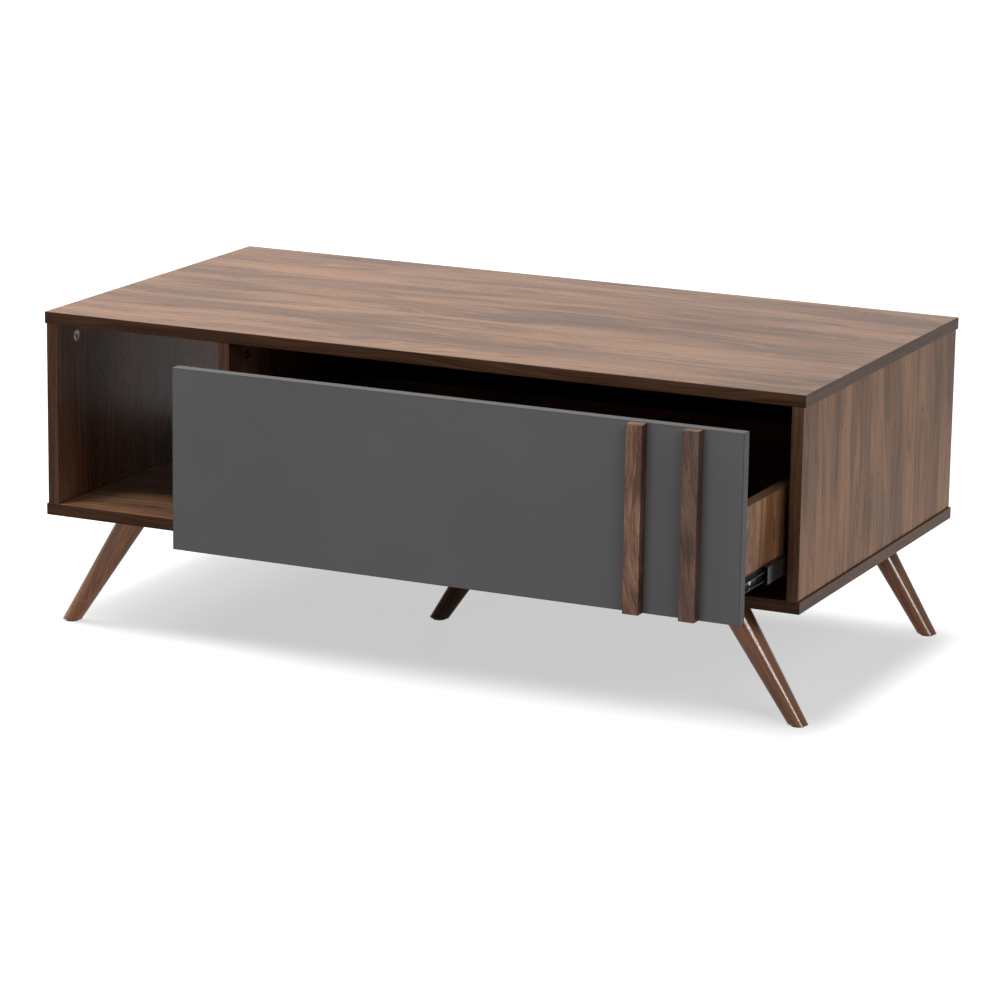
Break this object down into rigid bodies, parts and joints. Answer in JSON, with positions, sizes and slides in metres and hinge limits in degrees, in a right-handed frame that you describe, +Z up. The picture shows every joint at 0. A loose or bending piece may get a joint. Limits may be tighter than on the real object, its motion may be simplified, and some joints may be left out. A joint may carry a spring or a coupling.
{
  "type": "coffee table with drawer",
  "caption": "Low walnut-grain coffee table with a wide grey drawer on ball-bearing runners, paired wooden pull battens, an open-through niche and splayed tapered legs.",
  "frame": {"origin": "on the floor under the middle of the carcass", "axes": "+Z up, +X to the right seen from the front, the drawer opens towards -Y"},
  "size_m": [1.1012, 0.7425, 0.44],
  "materials": {
    "walnut_board": "satin walnut-grain laminate on particle board",
    "walnut_edge_band": "satin walnut-print edge band",
    "drawer_board": "satin light walnut-grain laminate",
    "drawer_floor": "walnut-print thin fibreboard",
    "grey_front": "matt dark grey laminate on board",
    "grey_edge_band": "matt dark grey edge band",
    "pull_wood": "oiled walnut",
    "leg_wood": "semi-gloss brown stain on turned hardwood",
    "dowel_wood": "bare beech",
    "cast_zinc": "die-cast zinc, satin",
    "plated_steel": "zinc-plated steel",
    "runner_steel": "black-coated rolled steel",
    "cage_plastic": "black moulded plastic",
    "ball_steel": "polished bearing steel",
    "glide_plastic": "dark moulded plastic"
  },
  "bodies": {
    "carcass": {"top_panel": "walnut_board", "bottom_panel": "walnut_board", "left_side_panel": "walnut_board", "right_side_panel": "walnut_board", "divider_panel": "walnut_board", "bay_back_panel": "walnut_board", "top_edge_bands": "walnut_edge_band", "bottom_edge_bands": "walnut_edge_band", "left_side_edge_bands": "walnut_edge_band", "right_side_edge_bands": "walnut_edge_band", "divider_edge_bands": "walnut_edge_band", "leg_front_left": "leg_wood", "leg_front_right": "leg_wood", "leg_back_left": "leg_wood", "leg_back_right": "leg_wood", "leg_centre": "leg_wood", "panel_dowels": "dowel_wood", "cam_locks": "cast_zinc", "cam_bolts": "plated_steel", "bottom_screws": "plated_steel", "leg_bolts": "plated_steel", "leg_insert_nuts": "plated_steel", "leg_pins": "plated_steel", "runner_outer_screws": "plated_steel", "runner_outer_left": "runner_steel", "runner_outer_right": "runner_steel", "foot_glides": "glide_plastic"},
    "drawer": {"drawer_front": "grey_front", "drawer_front_edge_bands": "grey_edge_band", "drawer_left_side": "drawer_board", "drawer_right_side": "drawer_board", "drawer_back": "drawer_board", "drawer_bottom": "drawer_floor", "drawer_cam_locks": "cast_zinc", "drawer_cam_bolts": "plated_steel", "drawer_dowels": "dowel_wood", "drawer_back_screws": "plated_steel", "pull_batten_left": "pull_wood", "pull_batten_right": "pull_wood", "batten_screws": "plated_steel", "runner_inner_left": "runner_steel", "runner_inner_right": "runner_steel", "runner_inner_screws": "plated_steel"},
    "runner_middle_left": {"runner_middle_left": "runner_steel"},
    "runner_middle_right": {"runner_middle_right": "runner_steel"},
    "outer_cage_left": {"outer_ball_cage_left": "cage_plastic", "outer_balls_left": "ball_steel"},
    "outer_cage_right": {"outer_ball_cage_right": "cage_plastic", "outer_balls_right": "ball_steel"},
    "inner_cage_left": {"inner_ball_cage_left": "cage_plastic", "inner_balls_left": "ball_steel"},
    "inner_cage_right": {"inner_ball_cage_right": "cage_plastic", "inner_balls_right": "ball_steel"}
  },
  "joints": [
    {"name": "drawer_slide", "type": "slide", "parent": "carcass", "child": "drawer", "axis": [0, -1, 0], "range_m": [-0.153, 0.297]},
    {"name": "runner_middle_left_slide", "type": "slide", "parent": "carcass", "child": "runner_middle_left", "axis": [0, -1, 0], "range_m": [-0.0765, 0.1485]},
    {"name": "runner_middle_right_slide", "type": "slide", "parent": "carcass", "child": "runner_middle_right", "axis": [0, -1, 0], "range_m": [-0.0765, 0.1485]},
    {"name": "outer_cage_left_slide", "type": "slide", "parent": "carcass", "child": "outer_cage_left", "axis": [0, -1, 0], "range_m": [-0.03825, 0.07425]},
    {"name": "outer_cage_right_slide", "type": "slide", "parent": "carcass", "child": "outer_cage_right", "axis": [0, -1, 0], "range_m": [-0.03825, 0.07425]},
    {"name": "inner_cage_left_slide", "type": "slide", "parent": "carcass", "child": "inner_cage_left", "axis": [0, -1, 0], "range_m": [-0.11475, 0.22275]},
    {"name": "inner_cage_right_slide", "type": "slide", "parent": "carcass", "child": "inner_cage_right", "axis": [0, -1, 0], "range_m": [-0.11475, 0.22275]}
  ],
  "couplings": [
    {"joint": "runner_middle_left_slide", "follows": "drawer_slide", "ratio": 0.5},
    {"joint": "runner_middle_right_slide", "follows": "drawer_slide", "ratio": 0.5},
    {"joint": "outer_cage_left_slide", "follows": "drawer_slide", "ratio": 0.25},
    {"joint": "outer_cage_right_slide", "follows": "drawer_slide", "ratio": 0.25},
    {"joint": "inner_cage_left_slide", "follows": "drawer_slide", "ratio": 0.75},
    {"joint": "inner_cage_right_slide", "follows": "drawer_slide", "ratio": 0.75}
  ]
}
